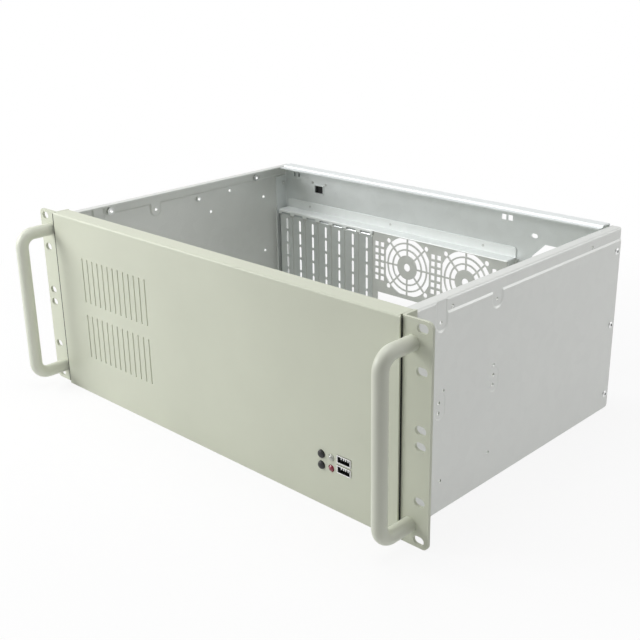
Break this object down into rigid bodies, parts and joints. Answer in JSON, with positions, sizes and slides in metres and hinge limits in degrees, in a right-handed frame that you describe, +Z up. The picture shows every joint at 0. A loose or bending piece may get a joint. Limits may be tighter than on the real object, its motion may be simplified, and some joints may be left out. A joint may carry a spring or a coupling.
{
  "type": "empty rackmount server case",
  "caption": "Open-topped rack-mount server case with bow handles, slotted ears, vented front panel, push buttons, and a rear bulkhead with slot covers and fan grilles.",
  "frame": {"origin": "on the base plane, under the middle of the whole case with its handles", "axes": "+X to the right seen from the front, +Y from the front panel to the rear, +Z up"},
  "size_m": [0.4826, 0.347, 0.177],
  "materials": {
    "powder_coat": "fine textured cream powder coat",
    "handle_coat": "satin cream powder coat",
    "galvanised": "satin zinc-coated sheet",
    "bright_zinc": "bright zinc-coated sheet",
    "plated_steel": "zinc plate",
    "port_metal": "tinned",
    "brass": "turned",
    "black_plastic": "fine matt",
    "clear_lamp": "milky",
    "red_lamp": "tinted",
    "circuit_board": "solder mask"
  },
  "bodies": {
    "case": {"chassis_tray": "galvanised", "rear_panel": "galvanised", "io_bulkhead": "galvanised", "slot_guard": "bright_zinc", "fascia": "powder_coat", "right_ear": "powder_coat", "left_ear": "powder_coat", "right_handle": "handle_coat", "left_handle": "handle_coat", "fascia_nuts": "plated_steel", "right_ear_rivets": "plated_steel", "left_ear_rivets": "plated_steel", "right_handle_screws": "plated_steel", "left_handle_screws": "plated_steel", "rear_rivets": "plated_steel", "socket_screws": "plated_steel", "rear_socket": "black_plastic", "foot_rivets": "plated_steel", "guard_screws": "plated_steel", "cover_screws": "plated_steel", "board_screws": "plated_steel", "lid_nuts": "plated_steel", "board_standoffs": "brass", "power_switch": "black_plastic", "reset_switch": "black_plastic", "power_lamp": "clear_lamp", "disk_lamp": "red_lamp", "upper_port_shell": "port_metal", "lower_port_shell": "port_metal", "upper_port_tongue": "black_plastic", "lower_port_tongue": "black_plastic", "control_board": "circuit_board", "slot_cover_1": "galvanised", "slot_cover_2": "galvanised", "slot_cover_3": "galvanised", "slot_cover_4": "galvanised", "slot_cover_5": "galvanised", "slot_cover_6": "galvanised", "slot_cover_7": "galvanised"},
    "power_button": {"power_button": "black_plastic"},
    "reset_button": {"reset_button": "black_plastic"}
  },
  "joints": [
    {"name": "power_button_press", "type": "slide", "parent": "case", "child": "power_button", "axis": [0, 1, 0], "range_m": [0, 0.001], "stiffness_N_per_m": 400, "springref_m": -0.001},
    {"name": "reset_button_press", "type": "slide", "parent": "case", "child": "reset_button", "axis": [0, 1, 0], "range_m": [0, 0.001], "stiffness_N_per_m": 400, "springref_m": -0.001}
  ]
}
